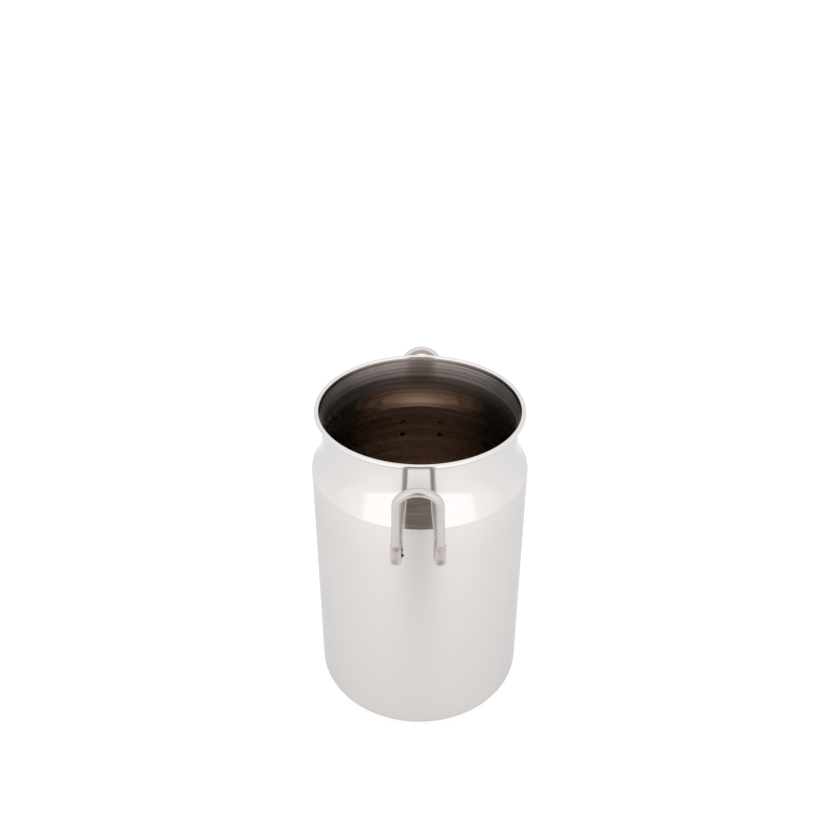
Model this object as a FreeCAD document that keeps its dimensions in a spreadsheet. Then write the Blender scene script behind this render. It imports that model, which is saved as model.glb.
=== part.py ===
import FreeCAD, Part
import Sketcher
import math
import os

# Milk can in thin stainless sheet: one drawn shell with a sloped shoulder, a
# short waisted neck and an open rolled rim, and two bent wire loop handles,
# each held to the wall by four spot welds.
#
# Row frame: +Z up, origin on the table plane in the middle of the base.
# The front handle stands at -Y, the rear handle at +Y.  Millimetres.

doc = FreeCAD.newDocument("MilkCan")
V = FreeCAD.Vector

# ------------------------------------------------------------------ driving dimensions
DIMS = [
    ("total_height", 131.5, "table plane to the top of the rolled rim"),
    ("body_dia", 85.0, "outside diameter of the straight wall"),
    ("sheet_thk", 0.6, "stainless sheet thickness"),
    ("base_corner", 5.5, "outside radius between wall and base"),
    ("panel_rad", 30.0, "radius of the raised panel in the base"),
    ("panel_rise", 0.8, "height of the raised panel above the table"),
    ("throat_dia", 76.0, "outside diameter of the neck at its narrowest"),
    ("throat_z", 119.6, "height where the shoulder curve meets the neck"),
    ("sweep_rad", 24.5, "hollow radius between neck and shoulder"),
    ("edge_rad", 1.5, "round radius between shoulder and wall"),
    ("flare_rad", 51.8, "hollow radius from neck up to the rim"),
    ("rim_bead", 0.94, "outside radius of the rolled rim's section"),
    ("curl_sweep", 285.0, "angle the rolled rim turns through"),
    ("wire_dia", 3.2, "handle wire diameter"),
    ("loop_rad", 7.65, "centreline radius of the handle's bend"),
    ("leg_half", 8.15, "half the distance between a handle's feet"),
    ("lean_deg", 14.1, "lean of the handle away from the wall"),
    ("apex_rad", 50.6, "distance of the loop's top from the can's axis"),
    ("apex_z", 127.8, "height of the loop's top centreline"),
    ("foot_y", 43.15, "distance of the feet's centreline from the can's axis plane"),
    ("foot_low", 89.6, "height of the lower end of the feet"),
    ("foot_len", 9.3, "length of a flattened foot"),
    ("foot_wide", 4.0, "width of a flattened foot"),
    ("foot_out", 44.25, "distance of a foot's pressed outer face from the axis plane"),
    ("foot_round", 1.3, "corner radius of a flattened foot"),
    ("foot_edge", 0.6, "edge radius of a foot's pressed face"),
    ("bend_rad", 9.0, "bend between foot and leg"),
    ("weld_rad", 1.2, "radius of a weld nugget"),
    ("weld_low", 91.1, "height of the lower welds"),
    ("weld_gap", 6.5, "height between the two welds of a foot"),
    ("weld_bite", 0.95, "depth of a nugget in the foot"),
    ("weld_dimple", 0.12, "depth of the electrode mark inside the can"),
]
sheet = doc.addObject("Spreadsheet::Sheet", "Dimensions")
for row, (alias, value, note) in enumerate(DIMS, start=1):
    sheet.set("A%d" % row, alias)
    sheet.set("B%d" % row, repr(value))
    sheet.set("C%d" % row, note)
    sheet.setAlias("B%d" % row, alias)
doc.recompute()


def d(alias):
    return float(getattr(sheet, alias))


def ref(alias):
    return "Dimensions." + alias


def origin_feature(body, role):
    for feature in body.Origin.OriginFeatures:
        if feature.Role == role:
            return feature
    raise RuntimeError("no origin feature " + role)


def sketch_on(body, role, name):
    sk = body.newObject("Sketcher::SketchObject", name)
    sk.AttachmentSupport = [(origin_feature(body, role), "")]
    sk.MapMode = "FlatFace"
    return sk


def arc(cx, cz, r, a0, a1):
    """Counter-clockwise arc in a sketch plane, angles in degrees."""
    return Part.ArcOfCircle(
        Part.Circle(V(cx, cz, 0), V(0, 0, 1), r), math.radians(a0), math.radians(a1)
    )


def seg(x0, z0, x1, z1):
    return Part.LineSegment(V(x0, z0, 0), V(x1, z1, 0))


def bind(sk, constraint, expression):
    index = sk.addConstraint(constraint)
    sk.setExpression("Constraints[%d]" % index, expression)
    return index


C = Sketcher.Constraint
R = d("body_dia") / 2
T = d("sheet_thk")
RN = d("throat_dia") / 2
ZT = d("throat_z")
RS = d("sweep_rad")
RE = d("edge_rad")
RC = d("base_corner")
TURN = math.acos(1 - (R - RN) / (RS + RE))
EDGE_Z = ZT - (RS + RE) * math.sin(TURN)
TURN_D = math.degrees(TURN)

# ------------------------------------------------------------------ can body
body = doc.addObject("PartDesign::Body", "CanBody")
body.Label = "can_body"

# Sheet section from the middle of the base up to the throat of the neck.
sk = sketch_on(body, "XZ_Plane", "SheetSection")
PR, PH = d("panel_rad"), d("panel_rise")
K = math.sqrt(2) - 1
geo = [
    seg(0, PH, PR, PH),  # 0 underside of the raised panel
    seg(PR, PH, PR + PH, 0),  # 1 step down to the foot ring
    seg(PR + PH, 0, R - RC, 0),  # 2 foot ring, on the table
    arc(R - RC, RC, RC, -90, 0),  # 3 base corner, outside
    seg(R, RC, R, EDGE_Z),  # 4 wall, outside
    arc(R - RE, EDGE_Z, RE, 0, TURN_D),  # 5 shoulder edge, outside
    arc(RN + RS, ZT, RS, 180, 180 + TURN_D),  # 6 shoulder sweep, outside
    seg(RN, ZT, RN - T, ZT),  # 7 across the sheet at the throat
    arc(RN + RS, ZT, RS + T, 180, 180 + TURN_D),  # 8 shoulder sweep, inside
    arc(R - RE, EDGE_Z, RE - T, 0, TURN_D),  # 9 shoulder edge, inside
    seg(R - T, EDGE_Z, R - T, RC),  # 10 wall, inside
    arc(R - RC, RC, RC - T, -90, 0),  # 11 base corner, inside
    seg(R - RC, T, PR + PH + K * T, T),  # 12 floor ring
    seg(PR + PH + K * T, T, PR + K * T, PH + T),  # 13 step, inside
    seg(PR + K * T, PH + T, 0, PH + T),  # 14 panel, inside
    seg(0, PH + T, 0, PH),  # 15 on the axis
]
for g in geo:
    sk.addGeometry(g, False)
joins = [
    (0, 2, 1, 1), (1, 2, 2, 1), (2, 2, 3, 1), (3, 2, 4, 1), (4, 2, 5, 1),
    (5, 2, 6, 2), (6, 1, 7, 1), (7, 2, 8, 1), (8, 2, 9, 2), (9, 1, 10, 1),
    (10, 2, 11, 2), (11, 1, 12, 1), (12, 2, 13, 1), (13, 2, 14, 1),
    (14, 2, 15, 1), (15, 2, 0, 1),
]
tangent = {(2, 3), (3, 4), (4, 5), (5, 6), (8, 9), (9, 10), (10, 11), (11, 12)}
for a, ea, b, eb in joins:
    if (a, b) in tangent:
        sk.addConstraint(C("Tangent", a, ea, b, eb))
    else:
        sk.addConstraint(C("Coincident", a, ea, b, eb))
for i in (0, 2, 7, 12, 14):
    sk.addConstraint(C("Horizontal", i))
for i in (4, 10):
    sk.addConstraint(C("Vertical", i))
sk.addConstraint(C("PointOnObject", 15, 1, -2))
sk.addConstraint(C("PointOnObject", 15, 2, -2))
sk.addConstraint(C("PointOnObject", 2, 1, -1))
sk.addConstraint(C("Coincident", 8, 3, 6, 3))
sk.addConstraint(C("Coincident", 9, 3, 5, 3))
sk.addConstraint(C("Coincident", 11, 3, 3, 3))
sk.addConstraint(C("Horizontal", 6, 3, 6, 1))
bind(sk, C("DistanceX", -1, 1, 0, 2, PR), ref("panel_rad"))
bind(sk, C("DistanceY", -1, 1, 0, 1, PH), ref("panel_rise"))
bind(sk, C("DistanceX", -1, 1, 1, 2, PR + PH), ref("panel_rad") + " + " + ref("panel_rise"))
bind(sk, C("Radius", 3, RC), ref("base_corner"))
bind(sk, C("DistanceX", -1, 1, 4, 1, R), ref("body_dia") + " / 2")
bind(sk, C("Radius", 5, RE), ref("edge_rad"))
bind(sk, C("Radius", 6, RS), ref("sweep_rad"))
bind(sk, C("DistanceX", -1, 1, 6, 1, RN), ref("throat_dia") + " / 2")
bind(sk, C("DistanceY", -1, 1, 6, 1, ZT), ref("throat_z"))
bind(sk, C("DistanceX", 7, 2, 7, 1, T), ref("sheet_thk"))
bind(sk, C("DistanceX", -1, 1, 12, 2, PR + PH + K * T), ref("panel_rad") + " + " + ref("panel_rise") + " + (sqrt(2) - 1) * " + ref("sheet_thk"))
bind(sk, C("DistanceX", -1, 1, 14, 1, PR + K * T), ref("panel_rad") + " + (sqrt(2) - 1) * " + ref("sheet_thk"))
bind(sk, C("DistanceY", -1, 1, 14, 2, PH + T), ref("panel_rise") + " + " + ref("sheet_thk"))
doc.recompute()

rev = body.newObject("PartDesign::Revolution", "DrawnShell")
rev.Profile = sk
rev.ReferenceAxis = (sk, ["V_Axis"])
rev.Angle = 360
body.Tip = rev
doc.recompute()

# Neck and rolled rim: the same sheet, carried on from the throat.
RF = d("flare_rad")
BEAD = d("rim_bead")
H = d("total_height")
FX = RN + RF
bead_z = H - BEAD
reach = RF + T - BEAD
bead_x = FX - math.sqrt(reach * reach - (bead_z - ZT) ** 2)
tilt = math.degrees(math.asin((bead_z - ZT) / reach))
start = 180 - tilt  # where neck and rolled rim meet, seen from the bead's centre
end = start - d("curl_sweep")
nk = sketch_on(body, "XZ_Plane", "NeckAndRimSection")


def polar(cx, cz, r, a):
    return cx + r * math.cos(math.radians(a)), cz + r * math.sin(math.radians(a))


e_in = polar(bead_x, bead_z, BEAD - T, end)
e_out = polar(bead_x, bead_z, BEAD, end)
geo = [
    arc(FX, ZT, RF, start, 180),  # 0 neck, outside
    arc(bead_x, bead_z, BEAD - T, end, start),  # 1 inside of the roll
    seg(e_in[0], e_in[1], e_out[0], e_out[1]),  # 2 cut edge of the sheet
    arc(bead_x, bead_z, BEAD, end, start),  # 3 outside of the roll
    arc(FX, ZT, RF + T, start, 180),  # 4 neck, inside
    seg(RN - T, ZT, RN, ZT),  # 5 across the sheet at the throat
]
for g in geo:
    nk.addGeometry(g, False)
nk.addConstraint(C("Tangent", 0, 1, 1, 2))
nk.addConstraint(C("Coincident", 1, 1, 2, 1))
nk.addConstraint(C("Coincident", 2, 2, 3, 1))
nk.addConstraint(C("Tangent", 3, 2, 4, 1))
nk.addConstraint(C("Coincident", 4, 2, 5, 1))
nk.addConstraint(C("Coincident", 5, 2, 0, 2))
nk.addConstraint(C("Horizontal", 5))
nk.addConstraint(C("Coincident", 3, 3, 1, 3))
nk.addConstraint(C("Coincident", 4, 3, 0, 3))
nk.addConstraint(C("Horizontal", 0, 3, 0, 2))
bind(nk, C("DistanceX", -1, 1, 0, 2, RN), ref("throat_dia") + " / 2")
bind(nk, C("DistanceY", -1, 1, 0, 2, ZT), ref("throat_z"))
bind(nk, C("DistanceX", 5, 1, 5, 2, T), ref("sheet_thk"))
bind(nk, C("Radius", 0, RF), ref("flare_rad"))
bind(nk, C("Radius", 3, BEAD), ref("rim_bead"))
bind(nk, C("DistanceY", -1, 1, 3, 3, bead_z), ref("total_height") + " - " + ref("rim_bead"))
nk.addConstraint(C("PointOnObject", 3, 3, 2))
bind(
    nk,
    C("Angle", 2, math.radians(end)),
    "(180 - asin((%s - %s - %s) / (%s + %s - %s)) / 1 deg - %s) * 1 deg"
    % tuple(
        ref(k)
        for k in (
            "total_height", "rim_bead", "throat_z", "flare_rad", "sheet_thk",
            "rim_bead", "curl_sweep",
        )
    ),
)
doc.recompute()
neck = body.newObject("PartDesign::Revolution", "NeckAndRolledRim")
neck.Profile = nk
neck.ReferenceAxis = (nk, ["V_Axis"])
neck.Angle = 360
body.Tip = neck
doc.recompute()
for k in (sk, nk):
    print(k.Name, "solved", k.solve(), "fully", k.FullyConstrained, "redundant", k.RedundantConstraints, "conflict", k.ConflictingConstraints)
shell_volume = body.Shape.Volume

# Weld holes through the front and rear wall, four on each side.
WZ, WG, WR, LH = d("weld_low"), d("weld_gap"), d("weld_rad"), d("leg_half")
wk = sketch_on(body, "XZ_Plane", "WeldHoles")
spots = [(-1, 0), (1, 0), (-1, 1), (1, 1)]
for i, (side, level) in enumerate(spots):
    wk.addGeometry(
        Part.Circle(V(side * LH, WZ + level * WG, 0), V(0, 0, 1), WR), False
    )
    bind(wk, C("Radius", i, WR), ref("weld_rad"))
    if side > 0:
        bind(wk, C("DistanceX", -1, 1, i, 3, LH), ref("leg_half"))
    else:
        bind(wk, C("DistanceX", i, 3, -1, 1, LH), ref("leg_half"))
    bind(
        wk,
        C("DistanceY", -1, 1, i, 3, WZ + level * WG),
        ref("weld_low") + (" + " + ref("weld_gap") if level else ""),
    )
doc.recompute()
cut = body.newObject("PartDesign::Pocket", "WeldPockets")
cut.Profile = wk
cut.Midplane = True
cut.Type = 0
cut.Length = 2 * R + 10
cut.setExpression("Length", ref("body_dia") + " + 10")
body.Tip = cut
doc.recompute()
if not body.Shape.Volume < shell_volume - 8 * 0.8 * math.pi * WR * WR * T:
    raise RuntimeError("the weld holes cut too little")

# ------------------------------------------------------------------ wire handles
# Path of the front handle: up the left foot, a bend, the leaning leg, round
# the loop and down the other side, as lines and tangent arcs.
lam = math.radians(d("lean_deg"))
out = V(0, -math.sin(lam), math.cos(lam))  # up along the leaning legs
apex = V(0, -d("apex_rad"), d("apex_z"))
LR = d("loop_rad")
centre = apex - out * LR
foot_top = V(LH, -d("foot_y"), 0)
# leg line starts where the leaning plane crosses the feet's centreline
s_down = (centre.y + d("foot_y")) / out.y
knee = centre - out * s_down  # on the plane y = -foot_y
knee = V(LH, knee.y, knee.z)
# tangent from the knee to the loop's circle, in the leaning plane
dx = LH
dn = (knee - centre).dot(out)
dist = math.hypot(dx, dn)
phi = math.atan2(dn, dx) + math.acos(LR / dist)
touch = centre + V(1, 0, 0) * (LR * math.cos(phi)) + out * (LR * math.sin(phi))
low = V(LH, -d("foot_y"), d("foot_low") + 1.0)  # the foot hides the cut end
u1 = (low - knee).normalize()
u2 = (touch - knee).normalize()
half = math.acos(max(-1.0, min(1.0, u1.dot(u2)))) / 2
BR = d("bend_rad")
setback = BR / math.tan(half)
b1 = knee + u1 * setback
b2 = knee + u2 * setback
bis = (u1 + u2).normalize()
bend_centre = knee + bis * (BR / math.sin(half))
bm = bend_centre - bis * BR


def flip(p):
    return V(-p.x, p.y, p.z)


edges = [
    Part.LineSegment(flip(low), flip(b1)).toShape(),
    Part.Arc(flip(b1), flip(bm), flip(b2)).toShape(),
    Part.LineSegment(flip(b2), flip(touch)).toShape(),
    Part.Arc(flip(touch), apex, touch).toShape(),
    Part.LineSegment(touch, b2).toShape(),
    Part.Arc(b2, bm, b1).toShape(),
    Part.LineSegment(b1, low).toShape(),
]
print("handle: knee z %.2f, loop starts z %.2f, leg %.2f mm, path %.2f mm" % (knee.z, touch.z, (touch - b2).Length, sum(e.Length for e in edges)))


def make_handle(tag, label, turned):
    path = doc.addObject("Part::Feature", tag + "WirePath")
    path.Shape = Part.Wire(edges)
    ring = doc.addObject("Part::Circle", tag + "WireSection")
    ring.setExpression("Radius", ref("wire_dia") + " / 2")
    ring.Placement = FreeCAD.Placement(flip(low), FreeCAD.Rotation())
    wire = doc.addObject("Part::Sweep", tag + "Wire")
    wire.Sections = [ring]
    wire.Spine = (path, ["Edge%d" % (i + 1) for i in range(len(edges))])
    wire.Solid = True
    wire.Frenet = False
    wire.Transition = "Right corner"
    doc.recompute()
    # material pressed out sideways when the feet were squeezed flat
    pads = []
    for side in (-1, 1):
        pad = doc.addObject("Part::Box", tag + ("LeftPad" if side < 0 else "RightPad"))
        pad.setExpression("Length", ref("foot_wide"))
        pad.setExpression("Width", ref("foot_out") + " - 40.2")
        pad.setExpression("Height", ref("foot_len"))
        pad.setExpression(
            "Placement.Base.x",
            ("-" if side < 0 else "") + ref("leg_half") + " - " + ref("foot_wide") + " / 2",
        )
        pad.setExpression("Placement.Base.y", "-" + ref("foot_out"))
        pad.setExpression("Placement.Base.z", ref("foot_low"))
        doc.recompute()
        corners = doc.addObject("Part::Fillet", tag + ("LeftPadCorners" if side < 0 else "RightPadCorners"))
        corners.Base = pad
        picked = []
        for n, e in enumerate(pad.Shape.Edges, start=1):
            a, b = e.Vertexes[0].Point, e.Vertexes[1].Point
            if abs(a.y - b.y) > 1:
                picked.append((n, d("foot_round"), d("foot_round")))
        corners.Edges = picked
        doc.recompute()
        soft = doc.addObject("Part::Fillet", tag + ("LeftFoot" if side < 0 else "RightFoot"))
        soft.Base = corners
        picked = []
        for n, e in enumerate(corners.Shape.Edges, start=1):
            if abs(e.BoundBox.YMin + d("foot_out")) < 1e-4 and abs(e.BoundBox.YMax + d("foot_out")) < 1e-4:
                picked.append((n, d("foot_edge"), d("foot_edge")))
        soft.Edges = picked
        pads.append(soft)
    fused = doc.addObject("Part::MultiFuse", tag + "WireAndFeet")
    fused.Shapes = [wire] + pads
    doc.recompute()
    # the press left the feet flat outside and bedded on the wall inside
    press = doc.addObject("Part::Box", tag + "PressFace")
    press.Length = 60
    press.Width = 20
    press.setExpression("Height", ref("foot_len") + " + 20")
    press.setExpression("Placement.Base.x", "-30")
    press.setExpression("Placement.Base.y", "-" + ref("foot_out") + " - 20")
    press.setExpression("Placement.Base.z", ref("foot_low") + " - 20")
    pressed = doc.addObject("Part::Cut", tag + "Pressed")
    pressed.Base = fused
    pressed.Tool = press
    wall = doc.addObject("Part::Cylinder", tag + "WallFace")
    wall.setExpression("Radius", ref("body_dia") + " / 2")
    wall.setExpression("Height", ref("foot_low") + " + " + ref("foot_len") + " + 8")
    seat = doc.addObject("Part::Cut", tag + "Seated")
    seat.Base = pressed
    seat.Tool = wall
    doc.recompute()
    holes = []
    for side, level in spots:
        hole = doc.addObject("Part::Cylinder", "%sNuggetSpace%d%d" % (tag, side > 0, level))
        hole.setExpression("Radius", ref("weld_rad"))
        hole.setExpression("Height", ref("weld_bite") + " + 4")
        hole.Placement = FreeCAD.Placement(
            V(
                side * LH,
                -math.sqrt(R * R - LH * LH) + 4,
                WZ + level * WG,
            ),
            FreeCAD.Rotation(V(1, 0, 0), 90),
        )
        holes.append(hole)
    tools = doc.addObject("Part::MultiFuse", tag + "NuggetSpaces")
    tools.Shapes = holes
    made = doc.addObject("Part::Cut", tag + "Handle")
    made.Base = seat
    made.Tool = tools
    doc.recompute()
    made.Label = label
    if turned:
        made.Placement = FreeCAD.Placement(V(0, 0, 0), FreeCAD.Rotation(V(0, 0, 1), 180))
    doc.recompute()
    return made


front = make_handle("Front", "front_handle", False)
rear = make_handle("Rear", "rear_handle", True)

# ------------------------------------------------------------------ spot welds
# Each nugget is the fused plug that runs through the wall into the foot.  Its
# inner end follows the wall, pressed in a little by the electrode.
welds = []
for place, turned in (("front", False), ("rear", True)):
    for side, level in spots:
        blank = doc.addObject("Part::Cylinder", "NuggetBlank_%s_%d%d" % (place, side > 0, level))
        blank.setExpression("Radius", ref("weld_rad"))
        blank.setExpression("Height", ref("weld_bite") + " + 4")
        blank.Placement = FreeCAD.Placement(
            V(side * LH, -math.sqrt(R * R - LH * LH) + 4, WZ + level * WG),
            FreeCAD.Rotation(V(1, 0, 0), 90),
        )
        bore = doc.addObject("Part::Cylinder", "InnerWall_%s_%d%d" % (place, side > 0, level))
        bore.setExpression(
            "Radius",
            ref("body_dia") + " / 2 - " + ref("sheet_thk") + " + " + ref("weld_dimple"),
        )
        bore.setExpression("Height", ref("total_height"))
        nugget = doc.addObject("Part::Cut", "Nugget_%s_%d%d" % (place, side > 0, level))
        nugget.Base = blank
        nugget.Tool = bore
        doc.recompute()
        # left and right are named from outside, facing that handle
        nugget.Label = "weld_%s_%s_%s" % (
            place,
            "left" if side < 0 else "right",
            "upper" if level else "lower",
        )
        if turned:
            nugget.Placement = FreeCAD.Placement(
                V(0, 0, 0), FreeCAD.Rotation(V(0, 0, 1), 180)
            )
        welds.append(nugget)
doc.recompute()

# ------------------------------------------------------------------ checks and export
for o in doc.Objects:
    if any(s in ("Invalid", "Error") for s in o.State):
        raise RuntimeError("%s (%s) failed: %s" % (o.Name, o.Label, o.State))
kept = [body, front, rear] + welds
os.makedirs("parts", exist_ok=True)
for o in kept:
    shape = o.Shape
    if shape.isNull() or not shape.isValid():
        raise RuntimeError(o.Label + " has no valid shape")
    if shape.ShapeType != "Solid" and len(shape.Solids) < 1:
        raise RuntimeError(o.Label + " holds no solid")
    b = shape.optimalBoundingBox(False)
    print("%-26s solids %d volume %.3f box %s" % (
        o.Label, len(shape.Solids), shape.Volume,
        ["%.2f" % x for x in (b.XMin, b.XMax, b.YMin, b.YMax, b.ZMin, b.ZMax)],
    ))
for o in kept:
    o.Shape.exportStep("parts/%s.step" % o.Label)
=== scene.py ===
import math

import bmesh
import bpy
from mathutils import Matrix, Vector


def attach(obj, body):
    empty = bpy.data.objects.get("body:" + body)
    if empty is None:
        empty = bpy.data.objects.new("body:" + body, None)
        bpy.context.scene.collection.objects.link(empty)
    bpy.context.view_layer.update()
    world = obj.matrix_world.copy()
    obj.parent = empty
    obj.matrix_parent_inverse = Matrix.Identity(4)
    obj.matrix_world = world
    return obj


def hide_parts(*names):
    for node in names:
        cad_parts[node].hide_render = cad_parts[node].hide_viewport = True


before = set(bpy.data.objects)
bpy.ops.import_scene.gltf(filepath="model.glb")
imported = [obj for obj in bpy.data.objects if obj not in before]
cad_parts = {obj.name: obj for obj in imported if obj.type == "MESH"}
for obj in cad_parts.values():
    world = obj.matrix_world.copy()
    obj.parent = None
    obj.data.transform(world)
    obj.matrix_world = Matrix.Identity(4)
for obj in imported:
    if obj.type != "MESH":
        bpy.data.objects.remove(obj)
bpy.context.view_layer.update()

MM = 0.001

# ------------------------------------------------------------------ sizes, as in part.py (mm)
H = 131.5
R = 42.5
T = 0.6
RC = 5.5
PR, PH = 30.0, 0.8
RN = 38.0
ZT = 119.6
RS = 24.5
RE = 1.5
RF = 51.8
BEAD = 0.94
CURL = 285.0
TURN = math.acos(1 - (R - RN) / (RS + RE))
EDGE_Z = ZT - (RS + RE) * math.sin(TURN)

WIRE = 1.6
LOOP = 7.65
LEG = 8.15
LEAN = math.radians(14.1)
APEX = Vector((0, -50.6, 127.8))
FOOT_Y = -43.15
FOOT_LOW = 89.6
FOOT_LEN = 9.3
FOOT_WIDE = 4.0
FOOT_OUT = -44.25
BEND = 9.0
WELD_R = 1.2
WELD_Z = (91.1, 97.6)


# ------------------------------------------------------------------ mesh helpers
def new_object(name, verts, faces, smooth=True):
    me = bpy.data.meshes.new(name)
    me.from_pydata([tuple(v) for v in verts], [], faces)
    me.validate()
    me.update()
    if smooth:
        me.polygons.foreach_set("use_smooth", [True] * len(me.polygons))
    ob = bpy.data.objects.new(name, me)
    bpy.context.scene.collection.objects.link(ob)
    return ob


def arc_points(cx, cz, r, a0, a1, n, last=True):
    """Points on an arc, angles in degrees, from a0 to a1."""
    out = []
    for i in range(n + 1):
        if i == n and not last:
            break
        a = math.radians(a0 + (a1 - a0) * i / n)
        out.append((cx + r * math.cos(a), cz + r * math.sin(a)))
    return out


def line_points(x0, z0, x1, z1, n):
    return [(x0 + (x1 - x0) * i / n, z0 + (z1 - z0) * i / n) for i in range(n)]


# ------------------------------------------------------------------ can body
def can_profile():
    """Closed section of the sheet, from the base's middle outside to its middle inside."""
    td = math.degrees(TURN)
    k = math.sqrt(2) - 1
    p = []
    p += line_points(0.0, PH, PR - 1.2, PH, 8)
    # soft pressed step between panel and foot ring
    p += [(PR - 1.2 + 0.6 * i, PH - PH * (0.5 - 0.5 * math.cos(math.pi * i / 5))) for i in range(5)]
    p += line_points(PR + 1.8, 0.0, R - RC, 0.0, 3)
    p += arc_points(R - RC, RC, RC, -90, 0, 16, last=False)
    p += line_points(R, RC, R, EDGE_Z, 24)
    p += arc_points(R - RE, EDGE_Z, RE, 0, td, 12, last=False)
    p += arc_points(RN + RS, ZT, RS, 180 + td, 180, 20, last=False)
    fx = RN + RF
    bz = H - BEAD
    reach = RF + T - BEAD
    bx = fx - math.sqrt(reach * reach - (bz - ZT) ** 2)
    tilt = math.degrees(math.asin((bz - ZT) / reach))
    start = 180 - tilt
    end = start - CURL
    p += arc_points(fx, ZT, RF, 180, start, 14, last=False)
    p += arc_points(bx, bz, BEAD - T, start, end, 24)
    p += arc_points(bx, bz, BEAD, end, start, 32)
    p += arc_points(fx, ZT, RF + T, start, 180, 14)[1:]
    p += arc_points(RN + RS, ZT, RS + T, 180, 180 + td, 20)[1:]
    p += arc_points(R - RE, EDGE_Z, RE - T, td, 0, 12)[1:]
    q = line_points(R - T, EDGE_Z, R - T, RC, 24)[1:]
    p += q
    p += arc_points(R - RC, RC, RC - T, 0, -90, 16)
    p += line_points(R - RC, T, PR + 1.8, T, 3)[1:]
    p += [(PR + 1.8 - 0.6 * i, T + PH * (0.5 - 0.5 * math.cos(math.pi * i / 5))) for i in range(6)]
    p += line_points(PR - 1.2, PH + T, 0.0, PH + T, 8)[1:]
    p += [(0.0, PH + T)]
    return p


def lathe(name, profile, segments):
    """Turns a section about Z; points on the axis become one vertex."""
    verts, rings = [], []
    for x, z in profile:
        if x < 1e-6:
            rings.append([len(verts)])
            verts.append((0, 0, z * MM))
        else:
            ring = []
            for i in range(segments):
                a = 2 * math.pi * i / segments
                ring.append(len(verts))
                verts.append((x * math.cos(a) * MM, x * math.sin(a) * MM, z * MM))
            rings.append(ring)
    faces = []
    for a, b in zip(rings, rings[1:]):
        for i in range(segments):
            j = (i + 1) % segments
            if len(a) == 1:
                faces.append((a[0], b[j], b[i]))
            elif len(b) == 1:
                faces.append((a[i], a[j], b[0]))
            else:
                faces.append((a[i], a[j], b[j], b[i]))
    return new_object(name, verts, faces)


can = lathe("can_body_sheet", can_profile(), 288)
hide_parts("can_body")
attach(can, "root")


# ------------------------------------------------------------------ handles
def handle_path(steps_leg=10, steps_bend=8, steps_loop=40):
    """Centreline of the front handle from the left foot's end to the right foot's, in mm."""
    out = Vector((0, -math.sin(LEAN), math.cos(LEAN)))
    centre = APEX - out * LOOP
    s_down = (centre.y - FOOT_Y) / out.y
    knee = centre - out * s_down
    knee = Vector((LEG, knee.y, knee.z))
    dn = (knee - centre).dot(out)
    dist = math.hypot(LEG, dn)
    phi = math.atan2(dn, LEG) + math.acos(LOOP / dist)
    touch = centre + Vector((1, 0, 0)) * (LOOP * math.cos(phi)) + out * (LOOP * math.sin(phi))
    low = Vector((LEG, FOOT_Y, FOOT_LOW))
    u1 = (low - knee).normalized()
    u2 = (touch - knee).normalized()
    half = u1.angle(u2) / 2
    setback = BEND / math.tan(half)
    b1 = knee + u1 * setback
    b2 = knee + u2 * setback
    bc = knee + (u1 + u2).normalized() * (BEND / math.sin(half))
    pts = []
    foot_steps = 26
    for i in range(foot_steps):
        pts.append(low.lerp(b1, i / foot_steps))
    v1, v2 = b1 - bc, b2 - bc
    ang = v1.angle(v2)
    ax = v1.cross(v2).normalized()
    for i in range(steps_bend):
        pts.append(bc + Matrix.Rotation(ang * i / steps_bend, 3, ax) @ v1)
    for i in range(steps_leg):
        pts.append(b2.lerp(touch, i / steps_leg))
    right = list(pts)
    loop = []
    for i in range(steps_loop + 1):
        a = phi + (math.pi - 2 * phi) * i / steps_loop
        loop.append(centre + Vector((1, 0, 0)) * (LOOP * math.cos(a)) + out * (LOOP * math.sin(a)))
    left = [Vector((-p.x, p.y, p.z)) for p in reversed(right)]
    return right + loop + left


def smooth01(x):
    x = max(0.0, min(1.0, x))
    return x * x * (3 - 2 * x)


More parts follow.
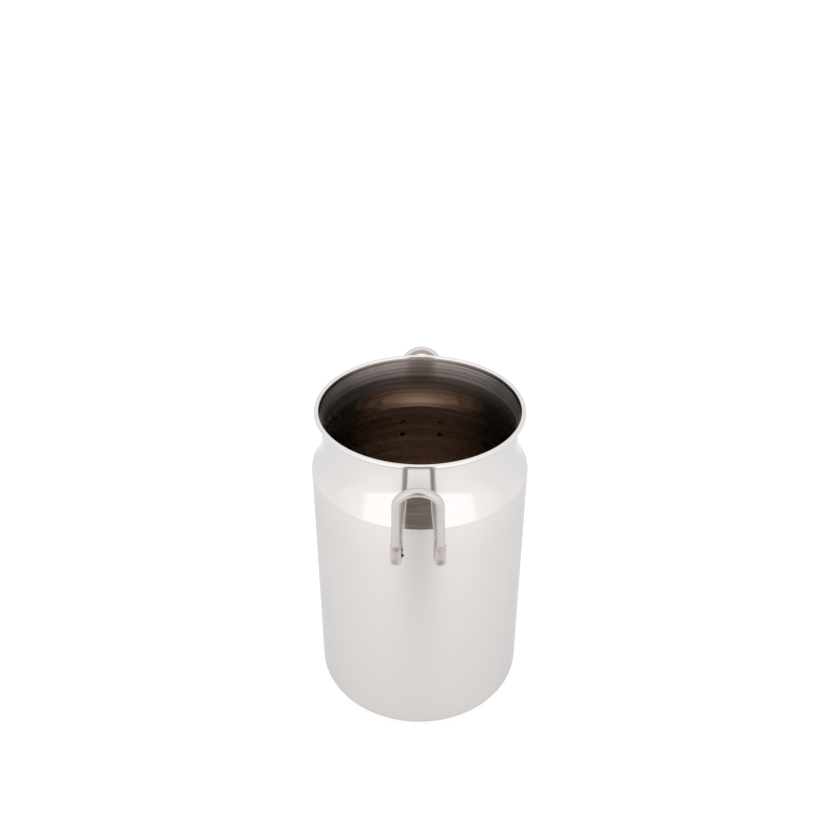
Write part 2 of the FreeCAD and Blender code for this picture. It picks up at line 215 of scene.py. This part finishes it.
def handle_mesh(name, turned):
    """Wire swept along its path; its ends are squeezed flat against the wall."""
    path = handle_path()
    n = len(path)
    sides = 40
    # distance from the nearer end
    run = [0.0]
    for a, b in zip(path, path[1:]):
        run.append(run[-1] + (b - a).length)
    total = run[-1]
    verts = []
    rings = []
    side_dir_prev = None
    for i, p in enumerate(path):
        if i == 0:
            t = (path[1] - path[0]).normalized()
        elif i == n - 1:
            t = (path[-1] - path[-2]).normalized()
        else:
            t = (path[i + 1] - path[i - 1]).normalized()
        # the plane of the loop fixes the frame: one axis across, one out of the plane
        away = Vector((0, -1, 0))
        w = t.cross(away)
        if w.length < 0.2:
            w = side_dir_prev
        w = (w - t * w.dot(t)).normalized()
        v = w.cross(t).normalized()  # out of the loop's plane, away from the can
        if v.y > 0:
            v = -v
            w = -w
        side_dir_prev = w
        s = min(run[i], total - run[i])
        flat = 1.0 - smooth01((s - 8.1) / 2.0)
        ring = []
        for k in range(sides):
            a = 2 * math.pi * k / sides
            cx, cy = math.cos(a), math.sin(a)
            x = WIRE * cx
            y = WIRE * cy
            # squeezed section: wider, with a pressed outer face and a seat on the wall
            e = 2 / 3.2
            sx = math.copysign(abs(cx) ** e, cx) * FOOT_WIDE / 2
            sy = math.copysign(abs(cy) ** e, cy)
            sy = sy * (FOOT_Y - FOOT_OUT) if sy > 0 else sy * 1.52
            # rounded lower end of the foot
            end_in = 1.0
            if s < 1.5:
                end_in = math.sqrt(max(0.0, 1 - (1 - s / 1.5) ** 2)) * 0.55 + 0.45
                if s < 0.35:
                    end_in *= 0.9 + 0.1 * s / 0.35
            x = x * (1 - flat) + sx * flat
            y = y * (1 - flat) + sy * flat
            x *= end_in
            if s < 0.6:
                y *= 0.78 + 0.22 * math.sqrt(s / 0.6)
            q = p + w * x + v * y
            # seat on the round wall
            if q.z < 99.9:
                rr = math.hypot(q.x, q.y)
                if rr < R + 0.01:
                    f = (R + 0.01) / rr
                    q = Vector((q.x, -math.sqrt(max(0.0, (R + 0.01) ** 2 - q.x ** 2)), q.z))
            ring.append(len(verts))
            verts.append(q)
        rings.append(ring)
    faces = []
    for a, b in zip(rings, rings[1:]):
        for k in range(sides):
            j = (k + 1) % sides
            faces.append((a[k], a[j], b[j], b[k]))
    faces.append(tuple(reversed(rings[0])))
    faces.append(tuple(rings[-1]))
    if turned:
        verts = [Vector((-q.x, -q.y, q.z)) for q in verts]
    ob = new_object(name, [q * MM for q in verts], faces)
    bm = bmesh.new()
    bm.from_mesh(ob.data)
    bmesh.ops.recalc_face_normals(bm, faces=bm.faces)
    bm.to_mesh(ob.data)
    bm.free()
    return ob


front = handle_mesh("front_handle_wire", False)
rear = handle_mesh("rear_handle_wire", True)
for ob, node in ((front, "front_handle"), (rear, "rear_handle")):
    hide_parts(node)
    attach(ob, "root")


# ------------------------------------------------------------------ spot welds
def weld_plug(name, x, z, turned):
    """Fused plug from the inner wall into the foot, with the electrode's dished mark at its inner end."""
    seg = 28
    # radius on the wall, height inwards from the wall's inner face
    spec = [
        (0.0, 0.012), (0.25, 0.013), (0.45, 0.018), (0.6, 0.032), (0.72, 0.055),
        (0.82, 0.062), (0.9, 0.05), (0.97, 0.025), (1.02, 0.0), (1.02, -0.2),
        (0.9, -0.3), (0.9, -1.4), (0.5, -1.5), (0.0, -1.52),
    ]
    verts, idx = [], []
    ri = R - T
    for r, h in spec:
        r *= 1.12
        row = []
        for k in range(1 if r == 0 else seg):
            a = 2 * math.pi * k / seg
            px, pz = x + r * math.cos(a), z + r * math.sin(a)
            rad = ri - h
            q = Vector((px, -math.sqrt(rad * rad - px * px), pz))
            if turned:
                q = Vector((-q.x, -q.y, q.z))
            row.append(len(verts))
            verts.append(q * MM)
        idx.append(row)
    faces = []
    for a, b in zip(idx, idx[1:]):
        for k in range(seg):
            j = (k + 1) % seg
            if len(a) == 1:
                faces.append((a[0], b[k], b[j]))
            elif len(b) == 1:
                faces.append((a[k], b[0], a[j]))
            else:
                faces.append((a[k], b[k], b[j], a[j]))
    ob = new_object(name, verts, faces)
    bm = bmesh.new()
    bm.from_mesh(ob.data)
    bmesh.ops.recalc_face_normals(bm, faces=bm.faces)
    bm.to_mesh(ob.data)
    bm.free()
    return ob


plugs = []
for place, turned in (("front", False), ("rear", True)):
    for sx, side in ((-1, "left"), (1, "right")):
        for z, level in zip(WELD_Z, ("lower", "upper")):
            node = "weld_%s_%s_%s" % (place, side, level)
            ob = weld_plug(node + "_mark", sx * LEG, z, turned)
            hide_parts(node)
            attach(ob, "root")
            plugs.append(ob)


# ------------------------------------------------------------------ node helpers
class Net:
    def __init__(self, tree):
        self.t = tree

    def node(self, kind, **props):
        n = self.t.nodes.new(kind)
        for k, v in props.items():
            setattr(n, k, v)
        return n

    def link(self, a, b):
        self.t.links.new(a, b)

    def put(self, value, socket):
        if hasattr(value, "is_output"):
            self.link(value, socket)
        else:
            socket.default_value = value

    def math(self, op, a, b=None, c=None, clamp=False):
        n = self.node("ShaderNodeMath", operation=op, use_clamp=clamp)
        self.put(a, n.inputs[0])
        if b is not None:
            self.put(b, n.inputs[1])
        if c is not None:
            self.put(c, n.inputs[2])
        return n.outputs[0]

    def add(self, a, b):
        return self.math("ADD", a, b)

    def sub(self, a, b):
        return self.math("SUBTRACT", a, b)

    def mul(self, a, b):
        return self.math("MULTIPLY", a, b)

    def ramp(self, value, lo, hi, to_lo=0.0, to_hi=1.0):
        """Smooth step of value from lo to hi."""
        n = self.node("ShaderNodeMapRange", interpolation_type="SMOOTHSTEP")
        self.put(value, n.inputs["Value"])
        n.inputs["From Min"].default_value = lo
        n.inputs["From Max"].default_value = hi
        n.inputs["To Min"].default_value = to_lo
        n.inputs["To Max"].default_value = to_hi
        return n.outputs["Result"]

    def mix(self, fac, a, b):
        n = self.node("ShaderNodeMix", data_type="RGBA")
        self.put(fac, n.inputs[0])
        self.put(a, n.inputs[6])
        self.put(b, n.inputs[7])
        return n.outputs[2]

    def mixf(self, fac, a, b):
        n = self.node("ShaderNodeMix", data_type="FLOAT")
        self.put(fac, n.inputs[0])
        self.put(a, n.inputs[2])
        self.put(b, n.inputs[3])
        return n.outputs[0]

    def coords(self):
        n = self.node("ShaderNodeTexCoord")
        return n.outputs["Object"]

    def xyz(self, vec):
        n = self.node("ShaderNodeSeparateXYZ")
        self.link(vec, n.inputs[0])
        return n.outputs[0], n.outputs[1], n.outputs[2]

    def vec(self, x, y, z):
        n = self.node("ShaderNodeCombineXYZ")
        for v, s in zip((x, y, z), n.inputs):
            self.put(v, s)
        return n.outputs[0]

    def scaled(self, vec, sx, sy, sz):
        n = self.node("ShaderNodeMapping")
        self.link(vec, n.inputs["Vector"])
        n.inputs["Scale"].default_value = (sx, sy, sz)
        return n.outputs[0]

    def noise(self, vec, scale=1.0, detail=2.0, rough=0.5, dist=0.0):
        n = self.node("ShaderNodeTexNoise")
        self.link(vec, n.inputs["Vector"])
        n.inputs["Scale"].default_value = scale
        n.inputs["Detail"].default_value = detail
        n.inputs["Roughness"].default_value = rough
        n.inputs["Distortion"].default_value = dist
        return n.outputs[0]

    def bump(self, height, strength, distance, normal=None):
        n = self.node("ShaderNodeBump")
        n.inputs["Strength"].default_value = strength
        n.inputs["Distance"].default_value = distance
        self.link(height, n.inputs["Height"])
        if normal is not None:
            self.link(normal, n.inputs["Normal"])
        return n.outputs[0]

    def near(self, p, centre, r0, r1):
        """1 inside r0 of a point, fading to 0 at r1; metres."""
        n = self.node("ShaderNodeVectorMath", operation="DISTANCE")
        self.link(p, n.inputs[0])
        n.inputs[1].default_value = centre
        return self.ramp(n.outputs["Value"], r0, r1, 1.0, 0.0)


def material(name):
    m = bpy.data.materials.new(name)
    m.use_nodes = True
    m.node_tree.nodes.clear()
    net = Net(m.node_tree)
    bsdf = net.node("ShaderNodeBsdfPrincipled")
    out = net.node("ShaderNodeOutputMaterial")
    net.link(bsdf.outputs[0], out.inputs[0])
    return m, net, bsdf


def radial_tangent(net):
    n = net.node("ShaderNodeTangent", direction_type="RADIAL", axis="Z")
    return n.outputs[0]


# small dark specks along the seam where a foot meets the wall: centre and radius, mm
SPECKS = [
    ((-LEG + 2.12, FOOT_Y + 0.5, 95.4), 0.55), ((-LEG + 2.15, FOOT_Y + 0.5, 92.7), 0.75),
    ((-LEG + 2.1, FOOT_Y + 0.4, 94.1), 0.36), ((LEG - 2.05, -FOOT_Y - 0.5, 94.6), 0.50),
]


# ------------------------------------------------------------------ steel, outside
def steel_outside():
    m, n, b = material("steel_outside")
    p = n.coords()
    x, y, z = n.xyz(p)
    # brushed body below, polished shoulder and neck above, with a slightly ragged line between
    edge = n.noise(n.scaled(p, 90, 90, 90), detail=3)
    line = n.add(z, n.mul(n.sub(edge, 0.5), 0.0005))
    polished = n.ramp(line, 0.1050, 0.1056)
    # brushing runs round the can
    fine = n.noise(n.scaled(p, 14, 14, 560), detail=1, rough=0.5)
    coarse = n.noise(n.scaled(p, 7, 7, 230), detail=1, rough=0.5)
    cloud = n.noise(n.scaled(p, 28, 28, 40), detail=3, rough=0.5)
    brush = n.add(n.mul(fine, 0.6), n.mul(coarse, 0.4))
    rough_satin = n.add(0.315, n.mul(n.sub(brush, 0.5), 0.05))
    rough_satin = n.add(rough_satin, n.mul(n.sub(cloud, 0.5), 0.05))
    smear = n.noise(n.scaled(p, 55, 55, 130), detail=4, rough=0.6)
    rough_pol = n.add(0.075, n.mul(smear, 0.05))
    # the rolled rim is a little duller
    rough_pol = n.add(rough_pol, n.ramp(z, 0.1282, 0.1292, 0.0, 0.06))
    n.link(n.mixf(polished, rough_satin, rough_pol), b.inputs["Roughness"])
    tone = n.add(1.0, n.mul(n.sub(brush, 0.5), 0.02))
    tone = n.add(tone, n.mul(n.sub(cloud, 0.5), 0.03))
    # painted highlight: the satin's tone is lighter just under the shoulder, standing in for the brighter
    # reflection there
    tone = n.add(tone, n.ramp(z, 0.088, 0.103, 0.0, 0.035))
    satin = n.node("ShaderNodeVectorMath", operation="SCALE")
    satin.inputs[0].default_value = (0.675, 0.642, 0.622)
    n.link(tone, satin.inputs["Scale"])
    pol_tone = n.add(0.985, n.mul(smear, 0.03))
    pol = n.node("ShaderNodeVectorMath", operation="SCALE")
    pol.inputs[0].default_value = (0.70, 0.668, 0.658)
    n.link(pol_tone, pol.inputs["Scale"])
    colour = n.mix(polished, satin.outputs[0], pol.outputs[0])
    for c, r0 in SPECKS:
        colour = n.mix(n.near(p, [v * MM for v in c], r0 * MM, r0 * 1.5 * MM), colour, (0.05, 0.04, 0.035, 1))
    n.link(colour, b.inputs["Base Color"])
    height = n.mul(brush, n.ramp(line, 0.1050, 0.1056, 1.0, 0.06))
    # the polished zone keeps a faint turned waviness
    wav = n.noise(n.scaled(p, 12, 12, 160), detail=2)
    h = n.add(height, n.mul(wav, n.ramp(line, 0.1050, 0.1056, 0.0, 0.8)))
    n.link(n.bump(h, 0.008, 0.00001), b.inputs["Normal"])
    b.inputs["Metallic"].default_value = 1.0
    b.inputs["Specular Tint"].default_value = (0.80, 0.83, 0.86, 1)
    b.inputs["Anisotropic"].default_value = 0.6
    b.inputs["Anisotropic Rotation"].default_value = 0.25
    n.link(radial_tangent(n), b.inputs["Tangent"])
    return m


# ------------------------------------------------------------------ steel, inside
def steel_inside():
    m, n, b = material("steel_inside")
    p = n.coords()
    fine = n.noise(n.scaled(p, 6, 6, 900), detail=3, rough=0.65)
    coarse = n.noise(n.scaled(p, 4, 4, 480), detail=3, rough=0.6)
    cloud = n.noise(n.scaled(p, 45, 45, 60), detail=4, rough=0.6)
    brush = n.add(n.mul(fine, 0.5), n.mul(coarse, 0.5))
    _, _, z = n.xyz(p)
    r = n.add(n.ramp(z, 0.115, 0.126, 0.175, 0.245), n.mul(n.sub(brush, 0.5), 0.24))
    r = n.add(r, n.mul(n.sub(cloud, 0.5), 0.06))
    r = n.math("MINIMUM", r, 0.262)
    n.link(r, b.inputs["Roughness"])
    tone = n.add(1.0, n.mul(n.sub(brush, 0.5), 1.35))
    # painted shade: lighter near the rim, darker and browner deeper in the can's hollow
    hollow_shade = n.mix(n.ramp(z, 0.104, 0.119), (0.475, 0.39, 0.328, 1), (0.70, 0.635, 0.595, 1))
    col = n.node("ShaderNodeVectorMath", operation="SCALE")
    n.link(hollow_shade, col.inputs[0])
    n.link(tone, col.inputs["Scale"])
    n.link(col.outputs[0], b.inputs["Base Color"])
    n.link(n.bump(brush, 0.12, 0.00001), b.inputs["Normal"])
    b.inputs["Metallic"].default_value = 1.0
    b.inputs["Anisotropic"].default_value = 0.92
    b.inputs["Anisotropic Rotation"].default_value = 0.25
    n.link(radial_tangent(n), b.inputs["Tangent"])
    return m


# ------------------------------------------------------------------ wire
def steel_wire():
    m, n, b = material("steel_wire")
    p = n.coords()
    drawn = n.noise(n.scaled(p, 2600, 2600, 90), detail=3, rough=0.6)
    spots = n.noise(n.scaled(p, 420, 420, 420), detail=4, rough=0.6)
    r = n.add(0.35, n.mul(n.sub(drawn, 0.5), 0.14))
    r = n.add(r, n.mul(n.sub(spots, 0.5), 0.10))
    # squeezed feet are duller
    _, _, z = n.xyz(p)
    foot = n.ramp(z, 0.0982, 0.0996, 1.0, 0.0)
    r = n.add(r, n.mul(foot, 0.10))
    n.link(r, b.inputs["Roughness"])
    base = n.mix(n.mul(spots, 0.35), (0.61, 0.575, 0.555, 1), (0.50, 0.47, 0.45, 1))
    # heat tint round each weld, seen on the foot's outer face
    tint = None
    for turned in (1, -1):
        for sx in (-1, 1):
            for zz in WELD_Z:
                c = (turned * sx * LEG * MM, turned * FOOT_OUT * MM, zz * MM)
                ring = n.near(p, c, 0.0006, 0.0023)
                tint = ring if tint is None else n.math("MAXIMUM", tint, ring)
    fleck = n.noise(n.scaled(p, 1200, 1200, 1200), detail=2, rough=0.6)
    broken = n.mul(n.ramp(spots, 0.32, 0.60), n.ramp(fleck, 0.38, 0.56, 0.35, 1.35))
    base = n.mix(n.mul(foot, 0.35), base, (0.47, 0.42, 0.40, 1))
    base = n.mix(n.mul(n.mul(tint, broken), 0.75), base, (0.36, 0.27, 0.25, 1))
    # small dark specks along the seam of two feet
    for c, r0 in SPECKS:
        speck = n.near(p, [v * MM for v in c], r0 * MM, r0 * 1.5 * MM)
        base = n.mix(n.mul(speck, n.ramp(spots, 0.36, 0.5)), base, (0.05, 0.042, 0.037, 1))
    n.link(base, b.inputs["Base Color"])
    h = n.add(n.mul(drawn, 0.5), n.mul(spots, 0.5))
    n.link(n.bump(h, 0.3, 0.00003), b.inputs["Normal"])
    b.inputs["Metallic"].default_value = 1.0
    return m


# ------------------------------------------------------------------ weld marks
def steel_weld():
    m, n, b = material("steel_weld")
    p = n.coords()
    grain = n.noise(n.scaled(p, 1500, 1500, 1500), detail=4, rough=0.65)
    patch = n.noise(n.scaled(p, 500, 500, 500), detail=2)
    n.link(n.add(0.38, n.mul(grain, 0.25)), b.inputs["Roughness"])
    # the lower spots are darker than the upper ones
    _, _, z = n.xyz(p)
    upper = n.ramp(z, 0.0935, 0.0952)
    dark = n.mix(patch, (0.02, 0.016, 0.013, 1), (0.07, 0.054, 0.045, 1))
    light = n.mix(patch, (0.035, 0.027, 0.022, 1), (0.12, 0.092, 0.075, 1))
    n.link(n.mix(upper, dark, light), b.inputs["Base Color"])
    n.link(n.bump(grain, 0.5, 0.00005), b.inputs["Normal"])
    b.inputs["Metallic"].default_value = 1.0
    return m


outside, inside, wire_mat, weld_mat = steel_outside(), steel_inside(), steel_wire(), steel_weld()
can.data.materials.append(outside)
can.data.materials.append(inside)
for poly in can.data.polygons:
    c = poly.center
    n = poly.normal
    rad = math.hypot(c.x, c.y)
    outward = (c.x * n.x + c.y * n.y) / rad if rad > 1e-9 else 0
    z = c.z / MM
    r_mm = rad / MM
    inner = False
    if z > H - 2.4:
        inner = False  # rolled rim is polished all round
    elif outward < -0.2:
        inner = True
    elif z < RC + 1 and n.z > 0.3:
        inner = True
    if inner:
        poly.material_index = 1
for ob in (front, rear):
    ob.data.materials.append(wire_mat)
for ob in plugs:
    ob.data.materials.append(weld_mat)


# ------------------------------------------------------------------ floor and pale surroundings
FRONT = -0.24  # the table's front edge


def pale_floor(name, y0, y1, z):
    s = 6.0
    ob = new_object(name, [(-s, y0, z), (s, y0, z), (s, y1, z), (-s, y1, z)], [(0, 1, 2, 3)], smooth=False)
    m = bpy.data.materials.new(name + "_white")
    m.use_nodes = True
    t = m.node_tree
    t.nodes.clear()
    n = Net(t)
    d = n.node("ShaderNodeBsdfDiffuse")
    d.inputs["Color"].default_value = (0.08, 0.08, 0.08, 1)
    e = n.node("ShaderNodeEmission")
    x, y, _ = n.xyz(n.coords())
    # a touch brighter in front of the can
    lum = n.ramp(y, -0.16, -0.03, 1.06, 0.955)
    lum = n.mul(lum, n.ramp(n.math("ABSOLUTE", x), 0.02, 0.14, 1.0, 1.065))
    # painted contact shadow: the floor glows 3% less in a ring round the can's base
    lum = n.mul(lum, n.sub(1.0, n.mul(0.03, n.near(n.coords(), (0, 0, z), 0.044, 0.062))))
    # a little less light where the camera stands over it
    lum = n.mul(lum, n.sub(1.0, n.mul(0.19, n.near(n.coords(), (0, -0.218, z), 0.02, 0.105))))
    n.link(lum, e.inputs["Strength"])
    a = n.node("ShaderNodeAddShader")
    n.link(d.outputs[0], a.inputs[0])
    n.link(e.outputs[0], a.inputs[1])
    out = n.node("ShaderNodeOutputMaterial")
    n.link(a.outputs[0], out.inputs[0])
    ob.data.materials.append(m)
    return ob


floor = pale_floor("floor", FRONT, 6.0, -0.00002)
# what lies in front of the table is only seen directly, never in the steel
apron = pale_floor("floor_apron", -6.0, FRONT, -0.00002)
apron.visible_glossy = False


def backdrop_dome():
    """Plain white all round, seen directly only: the steel reflects the studio instead."""
    bm = bmesh.new()
    bmesh.ops.create_icosphere(bm, subdivisions=4, radius=8.0)
    me = bpy.data.meshes.new("backdrop")
    bm.to_mesh(me)
    bm.free()
    ob = bpy.data.objects.new("backdrop", me)
    bpy.context.scene.collection.objects.link(ob)
    m = bpy.data.materials.new("backdrop_white")
    m.use_nodes = True
    t = m.node_tree
    t.nodes.clear()
    n = Net(t)
    e = n.node("ShaderNodeEmission")
    e.inputs["Strength"].default_value = 1.03
    out = n.node("ShaderNodeOutputMaterial")
    n.link(e.outputs[0], out.inputs[0])
    me.materials.append(m)
    ob.visible_glossy = False
    ob.visible_diffuse = False
    ob.visible_transmission = False
    ob.visible_shadow = False
    ob.visible_volume_scatter = False


backdrop_dome()


# ------------------------------------------------------------------ studio surroundings
def studio_world():
    w = bpy.data.worlds.new("studio")
    bpy.context.scene.world = w
    w.use_nodes = True
    t = w.node_tree
    t.nodes.clear()
    n = Net(t)
    tc = n.node("ShaderNodeTexCoord")
    x, y, z = n.xyz(tc.outputs["Generated"])
    flat = n.math("SQRT", n.add(n.mul(x, x), n.mul(y, y)))
    az = n.math("ARCTAN2", x, n.mul(y, -1.0))  # 0 towards the camera's side, radians
    aabs = n.math("ABSOLUTE", az)
    el = n.math("ARCTAN2", z, flat)
    rad = math.radians
    side = n.ramp(aabs, rad(60), rad(100), 1.27, 1.13)
    base = n.mixf(n.ramp(el, rad(35), rad(65)), side, 1.24)
    # two large soft boxes, left and right of the camera
    inbox = n.mul(n.ramp(aabs, rad(12), rad(17)), n.ramp(aabs, rad(52), rad(62), 1.0, 0.0))
    inbox = n.mul(inbox, n.ramp(el, rad(42), rad(55), 1.0, 0.0))
    lum = n.mixf(inbox, base, 1.45)
    # unlit room between them
    gap = n.mul(n.ramp(aabs, rad(13), rad(16), 1.0, 0.0), n.ramp(el, rad(28), rad(40), 1.0, 0.0))
    band = n.noise(n.vec(n.mul(az, 1.5), n.mul(el, 14.0), 0.0), detail=3, rough=0.7)
    dim = n.add(0.2, n.mul(n.sub(band, 0.5), 0.42))
    dim = n.add(dim, n.mul(n.mul(n.ramp(el, rad(6), rad(8)), n.ramp(el, rad(8), rad(10), 1.0, 0.0)), 0.09))
    lum = n.mixf(gap, lum, dim)
    bg = n.node("ShaderNodeBackground")
    tint = n.mix(inbox, (1.0, 0.99, 0.985, 1), (0.985, 1.0, 1.005, 1))
    n.link(n.mix(gap, tint, (1.0, 0.86, 0.77, 1)), bg.inputs["Color"])
    n.link(lum, bg.inputs["Strength"])
    out = n.node("ShaderNodeOutputWorld")
    n.link(bg.outputs[0], out.inputs[0])
    return w


studio_world()

# ------------------------------------------------------------------ camera
cam_data = bpy.data.cameras.new("camera")
cam = bpy.data.objects.new("camera", cam_data)
bpy.context.scene.collection.objects.link(cam)
F_PX = 994.1
cam_data.sensor_width = 36.0
cam_data.lens = F_PX / 840.0 * 36.0
PITCH = math.radians(32.591)
ROLL = math.radians(0.246)
AZ = math.radians(0.65)
YAW = math.radians(-0.002)
pos = Vector((0, -322.54, H + 199.53))
pos = Matrix.Rotation(AZ, 3, "Z") @ pos
rot = Matrix.Rotation(AZ - YAW, 4, "Z") @ Matrix.Rotation(math.radians(90) - PITCH, 4, "X") @ Matrix.Rotation(ROLL, 4, "Z")
cam.matrix_world = Matrix.Translation(pos * MM) @ rot
cam_data.clip_start = 0.01
cam_data.clip_end = 50
bpy.context.scene.camera = cam

scene = bpy.context.scene
scene.view_settings.view_transform = "Standard"
scene.view_settings.look = "None"
